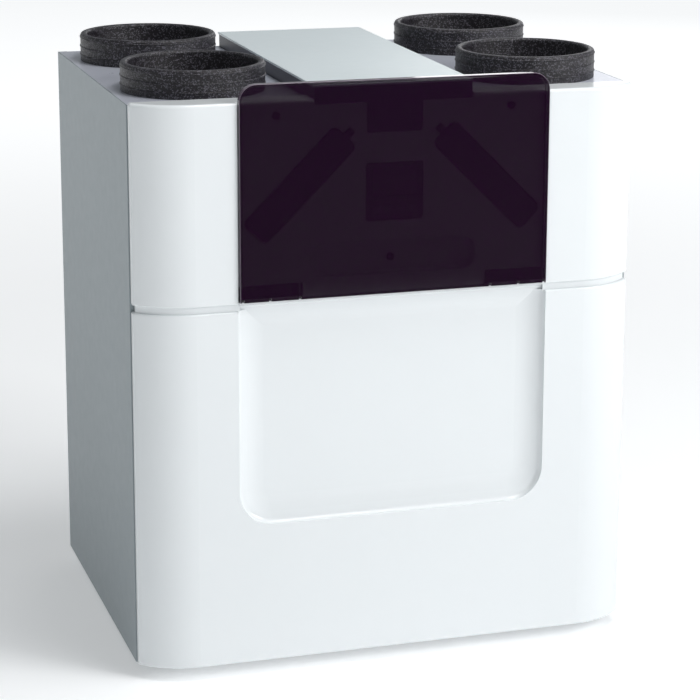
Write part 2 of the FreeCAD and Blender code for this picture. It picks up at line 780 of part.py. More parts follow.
def upper_cover():
    """The upper cover: its middle field is set back behind the visor and carries the service openings."""
    body = cover_shell("upper_front_cover", upper_bottom, cover_top, S.field_depth)
    dress(body, "Fillet", 5, lambda e: along(e, z=cover_top) and within(e, y=(cover_front, cover_back - 0.5)))
    dress(body, "Fillet", 2, lambda e: along(e, z=upper_bottom) and within(e, y=(cover_front, cover_back - 0.5)))
    wall = S.cover_wall
    # A bar behind the field for the hinge slot.
    bar = Drawing(body, "XZ", field_front + wall - 1)
    bar.rectangle(-opening_half - wall, opening_half + wall, upper_bottom, hinge_slot_top + wall)
    bar.pad(slot_floor - field_front + 1, 1)
    # The field itself, open at the top.
    field = Drawing(body, "XZ", cover_front)
    field.rectangle(-opening_half, opening_half, visor_bottom, cover_top + 10)
    field.pocket(S.field_depth)
    dress(body, "Fillet", 7, lambda e: along(e, y=field_front, z=cover_top))
    # Room for the lower cover's tongue, and the slot that the visor's lower edge swings into.
    tongue = Drawing(body, "XZ", cover_front)
    tongue.rectangle(-notch_half, notch_half, upper_bottom - 1, tongue_top + 1)
    tongue.pocket(22)
    slot = Drawing(body, "XZ", cover_front)
    slot.rectangle(-opening_half, opening_half, tongue_top, hinge_slot_top)
    slot.pocket(slot_floor - cover_front)
    lip = Drawing(body, "XZ", slot_floor + 1)
    lip.rectangle(-lip_half, lip_half, tongue_top + 1, hinge_slot_top)
    lip.pad(slot_floor + 1 - (field_front + 1), -1)
    # Opening for the grip cup, screw holes, filter openings, display opening and the T-shaped opening.
    grip = Drawing(body, "XZ", cover_front)
    edge = cup_wall + 0.3
    grip.rectangle(-grip_half - edge, grip_half + edge, grip_low - edge, grip_high + edge, grip_round + edge)
    grip.pocket(S.cover_depth)
    holes = Drawing(body, "XZ", cover_front)
    for x in (-cover_screw_x, cover_screw_x):
        holes.circle(x, cover_screw_level, screw_hole)
    holes.pocket(S.cover_depth)
    for side in (-1, 1):
        opening = Drawing(body, "XZ", cover_front)
        corners = filter_outline(side, S.filter_length + 2 * cap_opening, S.cap_thick + 2 * cap_opening)
        opening.outline([corner + (10,) for corner in corners])
        opening.pocket(S.cover_depth)
    display = Drawing(body, "XZ", cover_front)
    across = S.display_width / 2 + display_clear
    tall = S.display_height / 2 + display_clear
    display.rectangle(-across, across, display_level - tall, display_level + tall, 5)
    display.pocket(S.cover_depth)
    notch = Drawing(body, "XZ", cover_front)
    shoulder = cover_top - 8
    wide = box_half + 1.5
    narrow = bay_half - 3.5
    notch.outline([
        (-narrow, notch_floor, 6), (narrow, notch_floor, 6), (narrow, shoulder), (wide, shoulder),
        (wide, cover_top + 5), (-wide, cover_top + 5), (-wide, shoulder), (-narrow, shoulder),
    ])
    notch.pocket(S.cover_depth)


upper_cover()


def grip_cup():
    """The cup that fingers reach into, glued behind the field by a flange on its sides and top."""
    body = new_body("grip_cup")
    wall = cup_wall
    Drawing(body, "XZ", field_front).rectangle(
        -grip_half - wall, grip_half + wall, grip_low - wall, grip_high + wall, grip_round + wall,
    ).pad(grip_floor + wall - field_front)
    flange = Drawing(body, "XZ", field_front + S.cover_wall)
    flange.rectangle(-grip_half - 8, grip_half + 8, grip_low + 6, grip_high + 8, 6)
    flange.pad(wall)
    inside = Drawing(body, "XZ", field_front)
    inside.rectangle(-grip_half, grip_half, grip_low, grip_high, grip_round)
    inside.pocket(grip_floor - field_front)
    dress(body, "Fillet", 5, lambda e: along(e, y=grip_floor) and within(e, x=(-grip_half, grip_half)))
    Drawing(body, "XZ", field_front).circle(0, grip_screw_level, screw_hole).pocket(S.cover_depth)


grip_cup()


def lower_cover():
    """The lower cover with its dished recess, and the tongue that closes the gap under the visor."""
    body = cover_shell("lower_front_cover", casing_bottom, seam_level, S.recess_depth)
    for level, radius in ((casing_bottom, 2), (seam_level, 3)):
        dress(body, "Fillet", radius,
              lambda e: along(e, z=level) and within(e, y=(cover_front, cover_back - 0.5)))
    wall = S.cover_wall
    lower_room = Drawing(body, "XZ", cover_front + wall)
    lower_room.rectangle(-opening_half, opening_half, casing_bottom + wall, recess_bottom - wall)
    lower_room.pocket(S.recess_depth + 1)
    # The recess: a concave edge that follows its outline, round a flat floor.
    above = seam_level + 10
    path = Drawing(body, "XZ", cover_front)
    path.outline([
        (-opening_half, above), (-opening_half, recess_bottom, recess_corner),
        (opening_half, recess_bottom, recess_corner), (opening_half, above),
    ], closed=False)
    edge = Drawing(body, "XY", above)
    inner = -opening_half + S.recess_slope
    edge.outline([
        (-opening_half, cover_front - 1), (-opening_half, cover_front + S.recess_depth * 0.42, S.recess_depth * 0.55),
        (-opening_half + S.recess_slope * 0.58, recess_floor, S.recess_slope * 1.6), (inner, recess_floor),
        (inner, cover_front - 1),
    ])
    sweep = new_feature(body, "SubtractivePipe")
    sweep.Profile = edge.sketch
    sweep.Spine = path.sketch
    floor = Drawing(body, "XZ", cover_front - 1)
    lap = S.recess_slope - 0.1
    floor.outline([
        (-opening_half + lap, recess_bottom + lap, recess_corner - lap),
        (opening_half - lap, recess_bottom + lap, recess_corner - lap),
        (opening_half - lap, above), (-opening_half + lap, above),
    ])
    floor.pocket(S.recess_depth + 1)
    tongue = Drawing(body, "YZ", -tongue_half)
    deep = recess_floor + wall
    tongue.outline([
        (recess_floor, seam_level - 60), (recess_floor, tongue_top - 30, 60),
        (recess_floor - 6, tongue_top - 6, 7), (tongue_front, tongue_top - 3.5),
        (tongue_front, tongue_top, 1), (deep, tongue_top), (deep, seam_level - 60),
    ])
    tongue.pad(S.visor_width, 1)
    for side in (-1, 1):
        Drawing(body, "XY", seam_level - 1).outline(lip_plan(side)).pad(S.seam_width + 0.5, 1)


def lip_plan(side):
    """Plan of the thin lip that stands behind the seam, on one side of the tongue."""
    outer = cover_plan(S.seam_lip)[:3]
    inner = cover_plan(S.seam_lip + 3)[:3]
    middle = (-tongue_half + 1,)
    outer[0], inner[0] = (outer[0][0], cover_back), (inner[0][0], cover_back)
    corners = outer + [middle + (outer[2][1],), middle + (inner[2][1],)] + inner[::-1]
    return [(corner[0] * -side,) + tuple(corner[1:]) for corner in corners]


lower_cover()

# ---------------------------------------------------------------- visor and its hinges

ear_width = 3
ear_gap = 0.5
ear_starts = (first_ear, first_ear + 42, first_ear + 80)


def visor():
    """The tinted visor: a plate with a rim behind its sides and top, and hinge barrels at its foot."""
    body = new_body("visor")
    half = S.visor_width / 2
    radius = S.visor_corner
    back_face = visor_front + S.visor_wall
    Drawing(body, "XZ", visor_front).outline([
        (-half, visor_bottom), (half, visor_bottom), (half, visor_top, radius), (-half, visor_top, radius),
    ]).pad(S.visor_wall + S.visor_rim)
    inner = half - S.visor_wall
    Drawing(body, "XZ", back_face).outline([
        (-inner, visor_bottom - 1), (inner, visor_bottom - 1),
        (inner, visor_top - S.visor_wall, radius - S.visor_wall),
        (-inner, visor_top - S.visor_wall, radius - S.visor_wall),
    ]).pocket(S.visor_rim + 1)
    foot = Drawing(body, "XZ", back_face)
    foot.rectangle(-half - 1, half + 1, visor_bottom - 1, visor_bottom + 20)
    foot.pocket(S.visor_rim + 1)
    for side in (-1, 1):
        for start, stop in zip(ear_starts[:-1], ear_starts[1:]):
            first = (start + ear_width + 2 * ear_gap) * side if side > 0 else -size(stop)
            barrel = Drawing(body, "YZ", first)
            barrel.circle(axis_y, axis_z, S.barrel_radius)
            barrel.pad(stop - start - ear_width - 2 * ear_gap, 1)
        for start in ear_starts:
            notch = Drawing(body, "XZ", visor_front - 1)
            low = start if side > 0 else -size(start + ear_width + 2 * ear_gap)
            notch.rectangle(low, size(low) + ear_width + 2 * ear_gap, visor_bottom - 1, axis_z + S.barrel_radius + 0.6)
            notch.pocket(S.visor_wall + S.barrel_radius)
        bore = Drawing(body, "YZ", lip_half if side > 0 else -half - 1)
        bore.circle(axis_y, axis_z, S.pin_radius + S.running_fit)
        bore.pocket(half + 1 - lip_half, 1)
    dress(body, "Fillet", 1, lambda e: along(e, y=visor_front) and within(e, z=(visor_bottom + 15, visor_top)))


visor()


def hinge_block(label, side):
    """A dark block in the slot behind the visor's lower edge, with three ears that hold the pin."""
    body = new_body(label)
    first = ear_starts[0] + ear_gap
    last = ear_starts[-1] + ear_gap + ear_width
    low = first if side > 0 else -size(last)
    face = slot_floor - 6
    block = Drawing(body, "XZ", face)
    block.rectangle(low, size(low) + (last - first), visor_bottom + 0.7, hinge_slot_top - 2)
    block.pad(slot_floor - face)
    for start in ear_starts:
        inner = start + ear_gap
        ear = Drawing(body, "YZ", inner if side > 0 else -size(inner + ear_width))
        tip = S.barrel_radius - 0.2
        ear.outline([
            (axis_y - tip, axis_z - tip, tip * 0.85), (face + 1, axis_z - tip), (face + 1, axis_z + tip),
            (axis_y - tip, axis_z + tip, tip * 0.85),
        ])
        ear.pad(ear_width, 1)
    bore = Drawing(body, "YZ", size(low) - 1)
    bore.circle(axis_y, axis_z, S.pin_radius)
    bore.pocket(last - first + 2, 1)


def hinge_pin(label, side):
    first = ear_starts[0] + ear_gap - 1
    length = ear_starts[-1] + ear_width + 2 - first
    start = first if side > 0 else -size(first + length)
    pin = rod(label, "X", S.pin_radius, start, length, y=axis_y, z=axis_z)
    pin.Label = label
    parts.append(pin)


for name, side in (("left", -1), ("right", 1)):
    hinge_block("hinge_block_" + name, side)
    hinge_pin("hinge_pin_" + name, side)

# ---------------------------------------------------------------- electronics


def electronics_box():
    """The T-shaped tray that slides in under the lid."""
    body = new_body("electronics_box")
    wall = 2
    Drawing(body, "XZ", box_front).outline(t_outline(0, box_top)).pad(box_back - box_front)
    half = box_half - wall
    top = Drawing(body, "XY", box_top)
    top.rectangle(-half, half, box_front + wall, box_back - wall)
    top.pocket(S.box_height - wall, -1)
    narrow = bay_half - wall
    bay = Drawing(body, "XY", box_floor + wall)
    bay.rectangle(-narrow, narrow, box_front + wall, box_back - wall)
    bay.pocket(S.bay_height, -1)
    glands = Drawing(body, "XZ", box_back)
    for x in gland_places:
        glands.circle(x, gland_level, gland_radius)
    glands.pocket(wall * 2, -1)


gland_places = (52.5 - box_half, 0, box_half - 52.5)
gland_radius = 6
gland_level = box_top - 9.5
electronics_box()


def electronics_lid():
    body = new_body("electronics_lid")
    half = box_half + 1.5
    Drawing(body, "XY", box_top).rectangle(-half, half, box_front + 1, box_back + 1.5).pad(S.lid_wall, 1)
    dress(body, "Fillet", 1, lambda e: along(e, z=box_top + S.lid_wall))


electronics_lid()


def cable_glands():
    """Three glands in the box's rear wall, each a bored body with a hexagonal nut inside."""
    solids = []
    for index, x in enumerate(gland_places):
        name = "gland_" + str(index)
        barrel = rod(name + "_barrel", "Y", gland_radius, box_back - 6, 20, x=x, z=gland_level)
        collar = rod(name + "_collar", "Y", 8, box_back, 5, x=x, z=gland_level)
        nut = doc.addObject("Part::Prism", name + "_nut")
        nut.Polygon = 6
        nut.Circumradius = 8.5
        nut.Height = 3
        bind_place(nut, x, box_back - 5, gland_level, Rotation(Vector(1, 0, 0), -90))
        hole = rod(name + "_hole", "Y", 4, box_back - 7, 23, x=x, z=gland_level)
        body = combine("MultiFuse", name + "_body", [barrel, collar, nut], False)
        solids.append(combine("Cut", name + "_cut", [body, hole], False))
    combine("Compound", "cable_glands", solids)


cable_glands()

board_level = box_floor + 8
board_half = box_half - 14.5
board_front = box_front + 40
board_back = box_back - 60


def circuit_board():
    """The main board on four posts, with its larger parts."""
    plate = box("board_plate", (-board_half, board_half), (board_front, board_back), (board_level, board_level + 1.6))
    solids = [plate]
    posts = []
    for x in (-board_half + 6, board_half - 6):
        for y in (board_front + 8, board_back - 8):
            posts.append(rod("post", "Z", 3, box_floor + 2, board_level - box_floor - 2, x=x, y=y))
    top = board_level + 1.6
    left, right = -board_half, board_half
    chips = (
        (left + 38, 60, 40, 46, 26), (right - 78, 40, 30, 60, 18), (left + 48, 190, 50, 30, 12), (right - 43, 180, 26, 26, 20),
    )
    for x, y, wide, deep, tall in chips:
        solids.append(box("chip", (x - wide / 2, x + wide / 2), (board_front + y, board_front + y + deep), (top, top + tall)))
    for x, y in ((right - 28, 60), (right - 28, 90), (-10, 150), (10, 150)):
        solids.append(rod("capacitor", "Z", 8, top, 24, x=x, y=board_front + y))
    combine("MultiFuse", "circuit_board", solids)
    combine("Compound", "board_posts", posts)


circuit_board()


def terminal_block():
    """A row of cable terminals at the rear of the board."""
    body = new_body("terminal_block")
    top = board_level + 1.6
    half = board_half - 18
    pitch = (half * 2 - 17) / 11
    Drawing(body, "XY", top).rectangle(-half, half, board_back - 40, board_back - 20).pad(16, 1)
    screws = Drawing(body, "XY", top + 16)
    entries = Drawing(body, "XZ", board_back - 20)
    for index in range(12):
        x = 8.5 - half + pitch * index
        screws.circle(x, board_back - 32, 3)
        entries.circle(x, top + 6, 3)
    screws.pocket(5, -1)
    entries.pocket(8, -1)


terminal_block()

# ---------------------------------------------------------------- display

display_face = field_front - 0.5
window_width = 62
window_height = 40
window_level = display_level + 14
key_level = display_level - 25
key_pitch = 17
key_clear = 0.3


def display_frame():
    """The dark display housing, with a seat for its window and four holes for the keys."""
    body = new_body("display_frame")
    across = S.display_width / 2
    tall = S.display_height / 2
    Drawing(body, "XZ", display_face).rectangle(
        -across, across, display_level - tall, display_level + tall, 4.5).pad(24)
    seat = Drawing(body, "XZ", display_face)
    seat.rectangle(-window_width / 2, window_width / 2, window_level - window_height / 2, window_level + window_height / 2, 2)
    seat.pocket(2)
    keys = Drawing(body, "XZ", display_face)
    half = S.key_size / 2 + key_clear
    for index in range(4):
        x = (index - 1.5) * key_pitch
        keys.rectangle(x - half, x + half, key_level - half, key_level + half, 2)
    keys.pocket(8)
    dress(body, "Fillet", 1, lambda e: along(e, y=display_face) and not within(e, x=(-40, 40), z=(display_level - 39, display_level + 39)))


display_frame()


def display_window():
    body = new_body("display_window")
    half_w = window_width / 2 - 0.2
    half_h = window_height / 2 - 0.2
    Drawing(body, "XZ", display_face + 0.2).rectangle(
        -half_w, half_w, window_level - half_h, window_level + half_h, 2).pad(1.8)


display_window()


def display_key(label, index):
    """A push key that stands a little proud and travels into the frame."""
    body = new_body(label)
    x = (index - 1.5) * key_pitch
    half = S.key_size / 2
    Drawing(body, "XZ", display_face - S.key_travel).rectangle(
        x - half, x + half, key_level - half, key_level + half, 1.8).pad(7)
    dress(body, "Fillet", 0.6, lambda e: along(e, y=display_face - S.key_travel))


for index in range(4):
    display_key("display_key_" + str(index + 1), index)

# ---------------------------------------------------------------- filters and their caps


def filter_unit(label, side):
    """A pleated filter in a card frame, built flat and turned on to its slope."""
    body = new_body(label)
    half = S.filter_length / 2
    thick = S.filter_thick / 2
    start = foam_split + 1
    Drawing(body, "XZ", start).rectangle(-half, half, -thick, thick).pad(filter_run)
    for level, toward in ((thick, -1), (-thick, 1)):
        face = Drawing(body, "XY", level)
        face.rectangle(-half + 5, half - 5, start + 5, start + filter_run - 5)
        face.pocket(5, toward)
    pitch = 19
    valley = Drawing(body, "YZ", -half + 5)
    first = start + 10
    valley.outline([(first, thick - 5 + 0.1), (first + 7, -thick + 9), (first + 14, thick - 5 + 0.1)])
    groove = valley.pocket(S.filter_length - 10, 1)
    pattern = new_feature(body, "LinearPattern")
    pattern.Originals = [groove]
    pattern.Direction = (valley.sketch, ["H_Axis"])
    pattern.Occurrences = 20
    pattern.Length = pitch * 19
    body.Tip = pattern
    bind_place(body, filter_x * side, 0, filter_level, Rotation(Vector(0, 1, 0), -90 + 45 * -side))


def filter_cap(label, side):
    """The cap that closes a filter slot, with a plug behind it and a pull tab at its upper end."""
    body = new_body(label)
    half = S.filter_length / 2
    thick = S.cap_thick / 2
    face = field_front - 2
    Drawing(body, "XZ", face).rectangle(-half, half, -thick, thick, 10).pad(9)
    plug = Drawing(body, "XZ", face + 9)
    plug.rectangle(-half + 3, half - 3, -S.filter_thick / 2 + 0.5, S.filter_thick / 2 - 0.5, 5)
    plug.pad(foam_split - face - 9)
    dress(body, "Fillet", 1.5, lambda e: along(e, y=face))
    tab = Drawing(body, "XZ", face - 1)
    tab.rectangle(half - 8, half + 13, -5.5, 5.5, 2)
    tab.pad(2.7)
    bind_place(body, filter_x * side, 0, filter_level, Rotation(Vector(0, 1, 0), -90 + 45 * -side))


for name, side in (("left", -1), ("right", 1)):
    filter_unit("filter_" + name, side)
    filter_cap("filter_cap_" + name, side)

# ---------------------------------------------------------------- heat exchanger

core_front = foam_split + 4
frame_wall = 4


def exchanger():
    """The plate core between two end frames, with a strap to pull it out and two seals."""
    core = new_body("heat_exchanger_core")
    Drawing(core, "XZ", core_front + frame_wall).outline(core_outline(-1)).pad(core_run - 2 * frame_wall)
    for name, start in (("front", core_front), ("rear", core_front + core_run - frame_wall)):
        frame = new_body("exchanger_frame_" + name)
        Drawing(frame, "XZ", start).outline(core_outline(0)).pad(frame_wall)
        Drawing(frame, "XZ", start).outline(core_outline(-14)).pocket(frame_wall + 1)
    strap = new_body("exchanger_strap")
    middle = (core_top + core_bottom) / 2
    half = S.core_half - 4
    Drawing(strap, "XZ", core_front).rectangle(-half, half, middle - 12, middle + 12).pad(2, -1)
    seals = [
        box("seal_top", (-9.8, 9.8), (core_front, core_front + core_run - 6), (core_top - core_flat, core_top + 4.8)),
        box("seal_bottom", (-9.8, 9.8), (core_front, core_front + core_run - 6),
            (core_bottom - 4.8, core_bottom + core_flat)),
    ]
    combine("Compound", "exchanger_seals", seals)


exchanger()

# ---------------------------------------------------------------- fans

scroll_front = chamber_back + 6
scroll_wall = 2.5
hub_face = scroll_front + 84
blade_start = scroll_front + 22


def fan(name, side):
    """One fan: housing with its outlet upwards, inlet ring, motor with a fixed shaft, and wheel."""
    house = new_body("fan_housing_" + name)
    outlet_out = -S.scroll_radius * -side
    outlet_in = 20 * side
    low, high = (outlet_in, outlet_out) if side > 0 else (outlet_out, outlet_in)
    wall = scroll_wall
    Drawing(house, "XZ").circle(0, 0, S.scroll_radius).pad(S.scroll_run)
    Drawing(house, "XZ").rectangle(low, high, 0, outlet_rise).pad(S.scroll_run)
    Drawing(house, "XZ", wall).circle(0, 0, S.scroll_radius - wall).pocket(S.scroll_run - 2 * wall)
    Drawing(house, "XZ", wall).rectangle(size(low) + wall, size(high) - wall, 0, outlet_rise + 1).pocket(S.scroll_run - 2 * wall)
    Drawing(house, "XZ").circle(0, 0, 72).pocket(wall)
    bind_place(house, fan_x * side, scroll_front, fan_level)

    ring = new_body("fan_inlet_" + name)
    profile = Drawing(ring, "XZ")
    profile.outline([
        (58, -4), (86, -4), (86, -1), (64, -1, 6), (60, 8), (60, 18), (58, 18),
    ])
    profile.turn()
    bind_place(ring, fan_x * side, scroll_front, fan_level, Rotation(Vector(1, 0, 0), -90))

    motor = new_body("fan_motor_" + name)
    rear = S.scroll_run - wall
    Drawing(motor, "XZ", rear).circle(0, 0, 48).pad(12, -1)
    Drawing(motor, "XZ", rear - 11).circle(0, 0, S.shaft_radius).pad(46, -1)
    bind_place(motor, fan_x * side, scroll_front, fan_level)

    wheel = new_body("fan_wheel_" + name)
    hub = hub_face - scroll_front
    first = blade_start - scroll_front
    Drawing(wheel, "XZ", hub).circle(0, 0, S.wheel_radius).pad(3)
    blade = Drawing(wheel, "XZ", first + 1)
    blade.outline([(62, 0), (65, -side), (88, -25 * side), (86, -28 * side)])
    vane = blade.pad(hub - first - 0.5)
    polar(wheel, vane, blade.sketch, 9)
    Drawing(wheel, "XZ", first).circle(0, 0, S.wheel_radius).circle(0, 0, 62.5).pad(2.5)
    Drawing(wheel, "XZ", hub - 30).circle(0, 0, 44).pad(30.5)
    Drawing(wheel, "XZ", hub - 31).circle(0, 0, S.shaft_radius + S.running_fit).pocket(40)
    bind_place(wheel, fan_x * side, scroll_front, fan_level)


for name, side in (("left", -1), ("right", 1)):
    fan(name, side)

# ---------------------------------------------------------------- bypass damper

damper_x = (channel_inner + channel_outer) / 2
damper_half = (channel_outer - channel_inner) / 2
damper_front = foam_split + 3
damper_run = chamber_back - damper_front - 81.3


def bypass():
    """A frame across the bypass channel with a flap that turns on a spindle, and its drive."""
    frame = new_body("bypass_frame")
    wide = damper_half - 0.3
    tall = 11
    Drawing(frame, "XY", -tall).rectangle(-wide, wide, 0, damper_run).pad(2 * tall)
    Drawing(frame, "XY", -tall).rectangle(-wide + 2, wide - 2, 4, damper_run - 4).pocket(2 * tall)
    Drawing(frame, "XZ").circle(0, 0, 3 + S.running_fit).pocket(damper_run)
    bind_place(frame, damper_x, damper_front, bypass_level)

    flap = new_body("bypass_flap")
    Drawing(flap, "XY", -1).rectangle(-wide + 2.6, wide - 2.6, 4.6, damper_run - 4.6).pad(2)
    Drawing(flap, "XZ", -12).circle(0, 0, 3).pad(damper_run + 12)
    bind_place(flap, damper_x, damper_front, bypass_level)

    drive = new_body("bypass_drive")
    start = damper_front - foam_split + 13
    Drawing(drive, "XZ", -start).rectangle(-18, 18, -24, 24, 3).pad(start - 3.3)
    Drawing(drive, "XZ", -start + 3).circle(0, 0, 3 + S.running_fit).pocket(start)
    bind_place(drive, damper_x, damper_front, bypass_level)


bypass()

# ---------------------------------------------------------------- condensate tray and drains


def condensate():
    tray = new_body("condensate_tray")
    front = foam_split + 2
    rear = chamber_back - 3
    wall = 3
    Drawing(tray, "XY", tray_floor).rectangle(-tray_half, tray_half, front, rear).pad(tray_top - tray_floor - 1)
    inside = Drawing(tray, "XY", tray_floor + wall)
    inside.rectangle(-tray_half + wall, tray_half - wall, front + wall, rear - wall)
    inside.pocket(tray_top - tray_floor)
    outlets = Drawing(tray, "XY", tray_floor)
    for x in (-S.drain_x, S.drain_x):
        outlets.circle(x, drain_y, S.drain_radius - 2.5)
    outlets.pocket(wall + 1, 1)
    for name, side, low in (("left", -1, 0), ("right", 1, 3)):
        spigot = new_body("drain_spigot_" + name)
        Drawing(spigot, "XY", low).circle(0, 0, S.drain_radius).pad(tray_floor - low)
        Drawing(spigot, "XY", casing_bottom - 3).circle(0, 0, S.drain_radius + 8).pad(3)
        Drawing(spigot, "XY", low).circle(0, 0, S.drain_radius - 2.5).pocket(tray_floor)
        bind_place(spigot, S.drain_x * side, drain_y, 0)
    cap = new_body("drain_cap")
    Drawing(cap, "XY").circle(0, 0, S.drain_radius + 3).pad(14)
    Drawing(cap, "XY", 3).circle(0, 0, S.drain_radius).pocket(12)
    bind_place(cap, S.drain_x, drain_y, 0)


condensate()

# ---------------------------------------------------------------- wall fixing and fasteners

rail_half = S.bracket_holes / 2 + 25
bracket_low = casing_top - 110
hook_top = bracket_low + 24
bracket_wall = 2
bracket_hole = 4.5
bracket_rise = 45
bracket_top = bracket_low + 74


def wall_fixing():
    """The wall bracket, the rail on the back that hooks over it, and two rubber buffers lower down."""
    bracket = new_body("wall_bracket")
    near = back - 11.6
    Drawing(bracket, "YZ", -rail_half - 5).outline([
        (near, bracket_low), (back, bracket_low), (back, bracket_top), (back - bracket_wall, bracket_top),
        (back - bracket_wall, bracket_low + bracket_wall), (near + bracket_wall, bracket_low + bracket_wall),
        (near + bracket_wall, hook_top), (near, hook_top),
    ]).pad(2 * rail_half + 10)
    holes = Drawing(bracket, "XZ", back)
    for x in (-S.bracket_holes / 2, S.bracket_holes / 2):
        for z in (bracket_low + bracket_rise - 12.5, bracket_low + bracket_rise + 12.5):
            holes.circle(x, z, bracket_hole)
    holes.pocket(bracket_wall + 1, -1)

    rail = new_body("hook_rail")
    face = pan_back
    far = back - 4.6
    Drawing(rail, "YZ", -rail_half).outline([
        (face, hook_top), (far - bracket_wall, hook_top), (far - bracket_wall, hook_top - 18), (far, hook_top - 18),
        (far, hook_top + bracket_wall), (face + bracket_wall, hook_top + bracket_wall),
        (face + bracket_wall, hook_top + 46), (face, hook_top + 46),
    ]).pad(2 * rail_half)

    buffers = []
    for side in (-1, 1):
        buffers.append(rod("buffer", "Y", 15, pan_back, back - pan_back, x=(pan_half - 60.8) * side, z=casing_bottom + 80))
    combine("Compound", "wall_buffers", buffers)


wall_fixing()


def cover_screws():
    """Three socket screws that hold the upper cover."""
    solids = []
    for index, (x, z, face) in enumerate((
        (-cover_screw_x, cover_screw_level, field_front), (cover_screw_x, cover_screw_level, field_front),
        (0, grip_screw_level, grip_floor),
    )):
        name = "screw_" + str(index)
        head = rod(name + "_head", "Y", 5.5, face - 3, 3, x=x, z=z)
        shank = rod(name + "_shank", "Y", 2, face, 14, x=x, z=z)
        socket = rod(name + "_socket", "Y", 2, face - 3, 1.8, x=x, z=z)
        solids.append(combine("Cut", name, [combine("MultiFuse", name + "_body", [head, shank], False), socket], False))
    combine("Compound", "cover_screws", solids)


cover_screws()

# ---------------------------------------------------------------- checks and export

doc.recompute()
faults = []
for thing in doc.Objects:
    if "Invalid" in thing.State or "Error" in thing.State:
        faults.append(thing.Name + " is " + str(thing.State))
    if thing.TypeId in ("PartDesign::Pocket", "PartDesign::Pad"):
        before = thing.BaseFeature.Shape.Volume if thing.BaseFeature else 0.0
        change = thing.Shape.Volume - before
        if (change > -0.5) if thing.TypeId.endswith("Pocket") else (change < 0.5):
            faults.append(thing.Name + " changes nothing")
for part in parts:
    shape = part.Shape
    if shape.isNull() or not shape.isValid() or shape.Volume <= 0:
        faults.append(part.Label + " has no valid shape")
if faults:
    raise RuntimeError("; ".join(faults))

os.makedirs("parts", exist_ok=True)
for part in parts:
    part.Shape.exportStep("parts/" + part.Label + ".step")
    spans = part.Shape.BoundBox
    print(part.Label, len(part.Shape.Solids), "solids", round(part.Shape.Volume / 1000, 1), "cm3",
          [round(v, 1) for v in (spans.XMin, spans.XMax, spans.YMin, spans.YMax, spans.ZMin, spans.ZMax)])
print(len(parts), "nodes")
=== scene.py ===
# %% [markdown]
# A heat recovery unit hangs on a wall and swaps stale air for fresh. Its CAD model already has the
# right shapes, so this lesson mostly gives those shapes their finishes: coated sheet steel, glossy
# moulded covers, bead foam collars and a dark tinted visor. It starts by loading the CAD model,
# which stays as it is.

# %% Load the CAD model
import math
import bmesh
import bpy
from mathutils import Matrix, Quaternion, Vector


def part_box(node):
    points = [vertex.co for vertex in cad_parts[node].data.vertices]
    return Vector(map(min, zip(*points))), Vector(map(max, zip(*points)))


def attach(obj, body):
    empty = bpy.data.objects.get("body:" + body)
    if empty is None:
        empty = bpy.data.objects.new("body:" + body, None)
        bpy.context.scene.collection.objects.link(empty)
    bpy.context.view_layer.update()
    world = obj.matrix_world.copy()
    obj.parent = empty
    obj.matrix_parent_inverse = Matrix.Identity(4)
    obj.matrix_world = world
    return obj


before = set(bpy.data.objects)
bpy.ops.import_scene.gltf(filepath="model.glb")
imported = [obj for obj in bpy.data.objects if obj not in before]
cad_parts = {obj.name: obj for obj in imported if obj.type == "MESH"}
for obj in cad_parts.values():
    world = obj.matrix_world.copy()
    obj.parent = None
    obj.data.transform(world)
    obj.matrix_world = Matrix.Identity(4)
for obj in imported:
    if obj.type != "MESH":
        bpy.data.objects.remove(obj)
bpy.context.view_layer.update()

# %% [markdown]
# The camera stands a little left of the unit and above it, far enough away that the casing's sides
# stay nearly parallel. A long lens does that. The small shift slides the picture without turning the
# camera, as a studio view camera does to keep upright edges upright.

# %% Camera
SENSOR_MM = 36
LENS_MM = 126.3
SHIFT = -0.1
CAMERA_PLACE = (-1.013, -3.411, 1.358)
TURN, DROP, ROLL = (math.radians(angle) for angle in (18.52, 13.66, 0.57))


def new_object(name, data):
    """An object for this data, shown in the scene."""
    thing = bpy.data.objects.new(name, data)
    bpy.context.scene.collection.objects.link(thing)
    return thing


camera_data = bpy.data.cameras.new("camera")
camera_data.sensor_width = SENSOR_MM
camera_data.lens = LENS_MM
camera_data.shift_x = camera_data.shift_y = SHIFT
camera = new_object("camera", camera_data)
bpy.context.scene.camera = camera

forward = Vector((math.sin(TURN) * math.cos(DROP), math.cos(TURN) * math.cos(DROP), -math.sin(DROP)))
camera.location = CAMERA_PLACE
camera.rotation_mode = "QUATERNION"
camera.rotation_quaternion = forward.to_track_quat("-Z", "Y") @ Quaternion((0, 0, 1), ROLL)
print("camera looks along", [round(v, 2) for v in forward])

# %% [markdown]
# A studio for a white object needs large, soft lights, or its gloss shows hard spots. One big panel to
# the upper right makes the right-hand sides bright and lets the left ones fall into shade. A weak
# panel on the left fills the casing's side, one overhead lights the lid, and one far behind is there
# to be seen in the top plate's gloss. The sky is an even pale grey.

# %% Light panels
UNIT_MIDDLE = (0, 0, 0.45)


def light_panel(name, place, width, height, watts):
    """A rectangular lamp that looks at the middle of the unit."""
    data = bpy.data.lights.new(name, "AREA")
    data.shape = "RECTANGLE"
    data.size, data.size_y = width, height
    data.energy = watts
    panel = new_object(name, data)
    panel.location = place
    panel.rotation_mode = "QUATERNION"
    panel.rotation_quaternion = (Vector(UNIT_MIDDLE) - Vector(place)).to_track_quat("-Z", "Y")
    print(name, "gives", watts, "watts")


